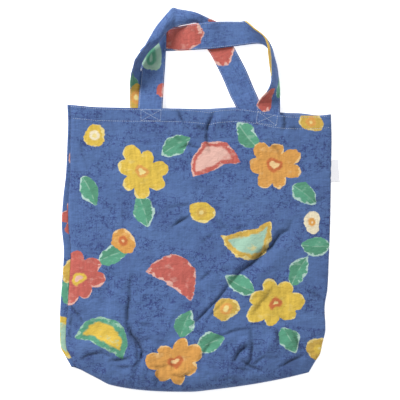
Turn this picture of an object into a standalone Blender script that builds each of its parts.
"""Canvas tote bag, empty and lying on its back, with its two handles thrown loosely above the mouth.

Two cloth panels are sewn down the sides and along a boxed bottom. The back panel rolls round the left
side fold and meets the front on top; on the right the two meet at the fold. Each handle is a strap sewn
inside its panel's hem. +Z is up, +Y runs from the bottom of the bag towards its mouth, and the origin is
on the underside of the back panel. Tables and sizes are in millimetres.
"""
import math
from collections import namedtuple

import bmesh
import bpy
from mathutils import Matrix, Vector

MM = 0.001                  # one millimetre in metres

# Cloth
PANEL_THICKNESS = 1.2
STRAP_THICKNESS = 1.6
LABEL_THICKNESS = 1.0
PIECE_GAP = 0.3             # between cloths that touch
SEAM_GAP = 0.9              # between panel edges that butt on top of the bag

# Loft of the empty bag
FOLD_RADIUS = 1.8           # middle of the cloth at the left side fold
BOTTOM_ROUND = 34.0         # how far from the bottom seam the front keeps rising
SIDE_FULLNESS = 0.6         # power of the arch across the bag, lower is fuller

# Grid counts
FRONT_COLUMNS = 30
FRONT_ROWS = 32
BACK_FLAT_COLUMNS = 12
BACK_ROWS = 24
WRAP_COLUMNS = 2
FOLD_COLUMNS = 5
STRAP_ROWS = 54
STRAP_COLUMNS = 4
LABEL_COLUMNS = 3

# Label
LABEL_WIDTH = 8.8
LABEL_STANDOFF = 2.3        # from the seam to the tab's near edge, at its middle
LABEL_LENGTH = 33.0
LABEL_TILT = math.radians(4.0)
LABEL_HEIGHT_ON_SEAM = 42.0
LABEL_LIFT = 0.9

Point = namedtuple("Point", "x y")
Height = namedtuple("Height", "y lift")
Wrap = namedtuple("Wrap", "y width")
Crease = namedtuple("Crease", "depth spread points")
Station = namedtuple("Station", "ax ay az bx by bz bow")

# Outline of the lying bag, bottom corner to mouth on the sides and left to right on the others
LEFT_SIDE = [
    Point(-186, -241), Point(-196, -223), Point(-201, -214), Point(-203, -194), Point(-202, -154),
    Point(-199, -110), Point(-197, -73), Point(-200, -37), Point(-198, 2), Point(-194, 37),
    Point(-192, 80), Point(-191, 115), Point(-192, 137.5),
]
RIGHT_SIDE = [
    Point(157, -249), Point(167, -232), Point(173, -223), Point(177, -206), Point(181, -188),
    Point(180, -154), Point(184, -128), Point(186, -85), Point(188, -30), Point(189, 28),
    Point(190, 89), Point(189, 124),
]
BOTTOM_EDGE = [
    Point(-186, -241), Point(-164, -249), Point(-147, -258), Point(-129, -267), Point(-79, -275),
    Point(-14, -277), Point(9, -275), Point(70, -267), Point(119, -258), Point(157, -249),
]
FRONT_MOUTH = [
    Point(-192, 137.5), Point(-173, 136), Point(-144, 133.5), Point(-54, 132), Point(-24, 131.5),
    Point(5, 129), Point(14, 127.5), Point(24, 130), Point(59, 132), Point(80, 129), Point(118, 122.5),
    Point(172, 122), Point(189, 124),
]
BACK_MOUTH = [
    Point(-192, 137.5), Point(-150, 134.5), Point(-71, 133), Point(8, 132), Point(59, 134),
    Point(118, 126.5), Point(145, 125.5), Point(172, 122.5), Point(189, 124),
]

# How high the front lies over the back, bottom to mouth
FRONT_LIFT = [Height(-277, 17.0), Height(-200, 17.0), Height(-120, 14.0), Height(0, 12.0), Height(132, 9.5)]

# How much of the back shows on top along the left fold
LEFT_WRAP = [Wrap(-241, 7.0), Wrap(-150, 11.0), Wrap(-40, 10.0), Wrap(20, 7.0), Wrap(80, 4.5), Wrap(135, 4.5)]

# Main creases of the front: troughs have a positive depth, ridges a negative one
FRONT_CREASES = [
    Crease(3.5, 9.5, [Point(132, -31), Point(114, -49), Point(98, -69), Point(66, -96), Point(22, -145)]),
    Crease(3.0, 8.8, [Point(-98, -125), Point(-103, -162), Point(-102, -184), Point(-83, -206),
                      Point(-99, -262)]),
    Crease(2.5, 8.8, [Point(-188, -152), Point(-176, -168)]),
    Crease(-3.0, 12.2, [Point(-178, -232), Point(-150, -218), Point(-116, -224)]),
    Crease(2.5, 8.8, [Point(73, -186), Point(77, -204), Point(62, -222)]),
    Crease(2.0, 8.1, [Point(60, -243), Point(89, -248)]),
    Crease(2.5, 8.1, [Point(114, -190), Point(114, -212)]),
    Crease(2.5, 8.1, [Point(134, -194), Point(142, -219), Point(163, -217)]),
    Crease(2.0, 8.1, [Point(-43, -41), Point(-22, -24)]),
    Crease(2.0, 8.1, [Point(-33, 126), Point(-11, 98)]),
    Crease(2.5, 6.8, [Point(13, 132), Point(14, 108)]),
]

# Front handle, left end to right end: its two edges and how far its middle bows out of their plane.
# The left leg folds under itself at the top, and the right leg stands on its edge.
FRONT_HANDLE = [
    Station(-89, 106, 8.2, -54, 106, 9.4, 0), Station(-89, 131, 7.6, -54, 131, 9.0, 0),
    Station(-88, 151, 6.0, -53, 151, 6.6, 0), Station(-85.5, 176, 5.4, -51.5, 176, 5.2, 0.6),
    Station(-84.2, 198, 5.4, -50, 199, 5.0, -0.6), Station(-84, 209, 5.4, -48.5, 240, 5.2, 0),
    Station(-86, 216, 3.2, -51, 250, 3.2, 0), Station(-79, 215, 1.2, -47, 248, 1.2, 0),
    Station(-28, 216, 1.4, -28, 251, 2.2, 0), Station(-4, 217, 3.8, -7, 254, 8.6, 0),
    Station(16, 218, 4.4, 13, 256.5, 9.0, 0), Station(43, 221, 4.0, 38, 257.5, 5.4, 0),
    Station(66, 224, 3.0, 59, 257.5, 5.0, 0), Station(82, 226, 1.4, 67, 257, 10.0, -1.0),
    Station(91, 225, 1.2, 79, 245, 21.0, -2.0), Station(98, 220, 1.2, 91, 234, 26.0, -3.0),
    Station(104, 211, 1.2, 96, 222, 28.0, -3.5), Station(107.5, 200, 1.2, 97.5, 208, 29.0, -4.0),
    Station(111.5, 184, 1.2, 100, 188, 29.0, -4.0), Station(114, 170, 1.4, 102, 172, 28.0, -3.0),
    Station(115.5, 157, 2.4, 97, 157, 25.0, -2.0), Station(115.5, 147, 4.6, 88, 147, 16.0, 0),
    Station(115.5, 138, 6.2, 82, 138, 9.6, 0), Station(115.5, 128, 6.2, 81.5, 129, 7.6, 0),
    Station(115.5, 105, 6.4, 81.5, 105, 8.0, 0),
]

# Back handle, left end to right end. Its left leg leaves from under the front handle, stands on its
# edge as it crosses over it, lies flat at the top and passes under the front handle's top run.
BACK_HANDLE = [
    Station(-101, 106, 2.4, -68, 106, 2.4, 0), Station(-101, 131, 2.4, -68, 131, 2.4, 0),
    Station(-101.5, 150, 2.8, -69, 149, 2.0, 0), Station(-101, 161, 7.0, -72, 160, 1.8, 3.0),
    Station(-100, 171, 17.0, -79, 170, 1.6, 5.0), Station(-98.5, 180, 25.0, -84.0, 178, 1.5, 4.0),
    Station(-97.6, 183.5, 27.2, -84.6, 183.5, 1.9, 3.6), Station(-96.5, 187, 29.0, -85.9, 187.5, 5.0, 3.0),
    Station(-95.0, 191, 30.6, -85.3, 191, 8.4, 2.6), Station(-91.5, 201, 33.0, -83.6, 198, 9.2, 2.0),
    Station(-80.5, 216, 34.0, -76, 211, 9.6, 0), Station(-75.5, 226.5, 27.0, -69, 219, 9.6, -5.0),
    Station(-70.5, 235.5, 21.0, -60, 227, 9.6, -9.0), Station(-64.5, 246, 18.0, -53, 236, 9.4, -9.0),
    Station(-55.5, 258, 15.0, -47, 243, 9.2, -7.0), Station(-45, 271, 10.0, -40, 248, 8.8, -6.0),
    Station(-39, 277, 8.0, -33, 250, 7.8, -4.0), Station(-32, 275, 8.0, -28, 252, 7.4, -4.0),
    Station(-20, 273, 8.0, -18, 254, 6.4, -4.0), Station(-6, 270, 8.0, -5, 256.5, 3.0, -5.0),
    Station(9, 264, 5.6, 1, 247, 1.6, -1.0), Station(24, 257, 2.6, 2, 232, 1.1, 0),
    Station(35, 242, 1.1, 6, 224, 1.1, 0), Station(46, 226, 1.1, 14, 213, 1.1, 0),
    Station(54, 212, 1.1, 21.5, 199, 1.1, 0), Station(66, 189, 1.1, 32.5, 177, 1.1, 0),
    Station(77, 163, 1.2, 43.5, 151, 1.4, 0), Station(85, 144, 2.4, 50.5, 137, 2.4, 0),
    Station(89, 128, 2.4, 54.5, 126, 2.4, 0), Station(89, 105, 2.4, 54.5, 105, 2.4, 0),
]

# Material colours
PRINT_BLUE = (0.095, 0.168, 0.367, 1.0)
LABEL_WHITE = (0.68, 0.66, 0.70, 1.0)
CLOTH_ROUGHNESS = 0.85


def clear_scene():
    """Empty the scene, so that the bag is built alone."""
    for old in list(bpy.data.objects):
        bpy.data.objects.remove(old, do_unlink=True)


def smooth_at(points, share):
    """Place on a smooth curve through points, at this share of its length."""
    knots = [0.0]
    for before, after in zip(points, points[1:]):
        knots.append(knots[-1] + max(1e-6, math.dist(before[:3], after[:3])))
    where = share * knots[-1]
    last = len(points) - 1
    span = min(last - 1, max(0, sum(knot <= where for knot in knots) - 1))

    def slope(index):
        low, high = max(0, index - 1), min(last, index + 1)
        width = knots[high] - knots[low]
        return [(b - a) / width for a, b in zip(points[low], points[high])]

    width = knots[span + 1] - knots[span]
    t = (where - knots[span]) / width
    start, end = points[span], points[span + 1]
    slopes = zip(slope(span), slope(span + 1))
    return [
        a * (2 * t ** 3 - 3 * t ** 2 + 1) + b * (3 * t ** 2 - 2 * t ** 3)
        + width * (m * (t ** 3 - 2 * t ** 2 + t) + n * (t ** 3 - t ** 2))
        for a, b, (m, n) in zip(start, end, slopes)
    ]


def table_at(rows, y):
    """Value of the second column of a two-column table, straight between its rows."""
    if y <= rows[0][0]:
        return rows[0][1]
    for (low, first), (high, second) in zip(rows, rows[1:]):
        if y <= high:
            return first + (second - first) * (y - low) / (high - low)
    return rows[-1][1]


def patch_at(left, right, bottom, top, u, v):
    """Point of the surface that fills four edge curves (a Coons patch)."""
    low, high = smooth_at(bottom, u), smooth_at(top, u)
    near, far = smooth_at(left, v), smooth_at(right, v)
    corners = [bottom[0], bottom[-1], top[0], top[-1]]
    mixed = [
        (1 - v) * ((1 - u) * a + u * b) + v * ((1 - u) * c + u * d)
        for a, b, c, d in zip(*corners)
    ]
    return [
        (1 - v) * a + v * b + (1 - u) * c + u * d - e
        for a, b, c, d, e in zip(low, high, near, far, mixed)
    ]


def distance_to_line(x, y, points):
    """Distance from a place to the nearest part of an open line."""
    best = math.inf
    for (ax, ay), (bx, by) in zip(points, points[1:]):
        run_x, run_y = bx - ax, by - ay
        share = ((x - ax) * run_x + (y - ay) * run_y) / (run_x ** 2 + run_y ** 2)
        share = min(1.0, max(0.0, share))
        best = min(best, math.hypot(x - ax - share * run_x, y - ay - share * run_y))
    return best


def crease_drop(x, y):
    """How far the front sinks here because of its creases."""
    return sum(
        crease.depth * math.exp(-(distance_to_line(x, y, crease.points) / crease.spread) ** 2)
        for crease in FRONT_CREASES
    )


def seam_side():
    """Line on top of the bag where the back's rolled edge meets the front."""
    return [Point(x + table_at(LEFT_WRAP, y), y) for x, y in LEFT_SIDE]


def front_point(u, v):
    """Middle of the front's cloth, u from the left seam to the right, v from bottom to mouth."""
    left = [Point(x + SEAM_GAP, y) for x, y in seam_side()]
    bottom = [left[0]] + BOTTOM_EDGE[1:]
    top = [left[-1]] + FRONT_MOUTH[1:]
    x, y = patch_at(left, RIGHT_SIDE, bottom, top, u, v)
    stacked = 1.5 * PANEL_THICKNESS + PIECE_GAP
    rolled = PANEL_THICKNESS / 2 + 2 * FOLD_RADIUS
    from_bottom = v * (FRONT_MOUTH[0].y - LEFT_SIDE[0].y)
    rise = min(1.0, from_bottom / BOTTOM_ROUND)
    bottom_arch = math.sqrt(1 - (1 - rise) ** 2)
    side_arch = math.sin(math.pi * u) ** SIDE_FULLNESS if 0 < u < 1 else 0.0
    arch = bottom_arch * side_arch
    edge = rolled + (stacked - rolled) * min(1.0, u * 6)
    z = edge + (table_at(FRONT_LIFT, y) - crease_drop(x, y)) * arch
    return Vector((x, y, z))


def back_point(column, v):
    """Middle of the back's cloth, column 0 at the seam on top and the last one at the right side."""
    fold_x, y = smooth_at(LEFT_SIDE, v)
    centre_x = fold_x + FOLD_RADIUS + PANEL_THICKNESS / 2
    low = PANEL_THICKNESS / 2
    if column < WRAP_COLUMNS:
        seam_x = smooth_at(seam_side(), v)[0]
        share = column / WRAP_COLUMNS
        return Vector((seam_x + (centre_x - seam_x) * share, y, low + 2 * FOLD_RADIUS))
    column -= WRAP_COLUMNS
    if column <= FOLD_COLUMNS:
        turn = math.pi * column / FOLD_COLUMNS
        x = centre_x - FOLD_RADIUS * math.sin(turn)
        return Vector((x, y, low + FOLD_RADIUS * (1 + math.cos(turn))))
    share = (column - FOLD_COLUMNS) / BACK_FLAT_COLUMNS
    inset = FOLD_RADIUS + PANEL_THICKNESS / 2
    left = [Point(x + inset, y) for x, y in LEFT_SIDE]
    bottom = [left[0]] + BOTTOM_EDGE[1:]
    top = [left[-1]] + BACK_MOUTH[1:]
    x, y = patch_at(left, RIGHT_SIDE, bottom, top, share, v)
    return Vector((x, y, low))


def strap_point(stations, share, across):
    """Middle of a strap's cloth: share along it, and across from edge A at 0 to edge B at 1."""
    ax, ay, az, bx, by, bz, bow = smooth_at(stations, share)
    ahead = Vector(smooth_at(stations, min(1.0, share + 0.01))[:3])
    behind = Vector(smooth_at(stations, max(0.0, share - 0.01))[:3])
    edge_a, edge_b = Vector((ax, ay, az)), Vector((bx, by, bz))
    normal = (ahead - behind).cross(edge_b - edge_a).normalized()
    middle = edge_a.lerp(edge_b, across) + normal * bow * 4 * across * (1 - across)
    middle.z = max(middle.z, STRAP_THICKNESS / 2 + PIECE_GAP)
    return middle


def sheet_mesh(name, columns, rows, place):
    """Flat grid bent to shape: place(column, row) gives each vertex in millimetres."""
    mesh = bpy.data.meshes.new(name)
    shape = bmesh.new()
    bmesh.ops.create_grid(shape, x_segments=columns, y_segments=rows, size=0.5)
    for vert in shape.verts:
        column = round((vert.co.x + 0.5) * columns)
        row = round((vert.co.y + 0.5) * rows)
        vert.co = place(column, row) * MM
    shape.to_mesh(mesh)
    shape.free()
    return mesh


def cloth_material(name, colour):
    """Plain woven cotton of one colour."""
    material = bpy.data.materials.new(name)
    material.use_nodes = True
    shader = material.node_tree.nodes["Principled BSDF"]
    shader.inputs["Base Color"].default_value = colour
    shader.inputs["Roughness"].default_value = CLOTH_ROUGHNESS
    shader.inputs["Metallic"].default_value = 0.0
    return material


def add_cloth(name, mesh, thickness, colour, group, parent, place):
    """Object for one piece of cloth, its sheet thickened evenly to both sides."""
    piece = bpy.data.objects.new(name, mesh)
    mesh.transform(Matrix.Translation(-place))
    piece.location = place
    piece.parent = parent
    mesh.materials.append(cloth_material(name + "_cloth", colour))
    solid = piece.modifiers.new("thickness", "SOLIDIFY")
    solid.thickness = thickness * MM
    solid.offset = 0.0
    group.objects.link(piece)
    return piece


def label_point(column, row):
    """Middle of the label's tape, standing out of the right seam."""
    seam_height = RIGHT_SIDE[-1].y - RIGHT_SIDE[0].y
    seam_x = smooth_at(RIGHT_SIDE, (LABEL_HEIGHT_ON_SEAM - RIGHT_SIDE[0].y) / seam_height)[0]
    out = LABEL_WIDTH * column / LABEL_COLUMNS
    along = LABEL_LENGTH * (row - 0.5)
    x = seam_x + LABEL_STANDOFF + out * math.cos(LABEL_TILT) - along * math.sin(LABEL_TILT)
    y = LABEL_HEIGHT_ON_SEAM + out * math.sin(LABEL_TILT) + along * math.cos(LABEL_TILT)
    return Vector((x, y, LABEL_LIFT))


def build_bag():
    """Make the bag's five pieces, hung from one empty."""
    group = bpy.data.collections.new("canvas_tote_bag")
    bpy.context.scene.collection.children.link(group)
    bag = bpy.data.objects.new("canvas_tote_bag", None)
    group.objects.link(bag)

    front = sheet_mesh(
        "front_panel", FRONT_COLUMNS, FRONT_ROWS,
        lambda column, row: front_point(column / FRONT_COLUMNS, row / FRONT_ROWS),
    )
    back = sheet_mesh(
        "back_panel", WRAP_COLUMNS + FOLD_COLUMNS + BACK_FLAT_COLUMNS, BACK_ROWS,
        lambda column, row: back_point(column, row / BACK_ROWS),
    )
    handles = {
        name: sheet_mesh(
            name, STRAP_ROWS, STRAP_COLUMNS,
            lambda column, row, stations=stations: strap_point(
                stations, column / STRAP_ROWS, row / STRAP_COLUMNS
            ),
        )
        for name, stations in (("front_handle", FRONT_HANDLE), ("back_handle", BACK_HANDLE))
    }
    label = sheet_mesh("side_label", LABEL_COLUMNS, 1, label_point)

    bag_middle = Vector((0.0, -0.07, 0.0))
    mouth = Vector((0.0, 0.13, 0.0))
    seam = Vector((0.19, LABEL_HEIGHT_ON_SEAM * MM, 0.0))
    add_cloth("front_panel", front, PANEL_THICKNESS, PRINT_BLUE, group, bag, bag_middle)
    add_cloth("back_panel", back, PANEL_THICKNESS, PRINT_BLUE, group, bag, bag_middle)
    for name, mesh in handles.items():
        add_cloth(name, mesh, STRAP_THICKNESS, PRINT_BLUE, group, bag, mouth)
    add_cloth("side_label", label, LABEL_THICKNESS, LABEL_WHITE, group, bag, seam)


clear_scene()
build_bag()
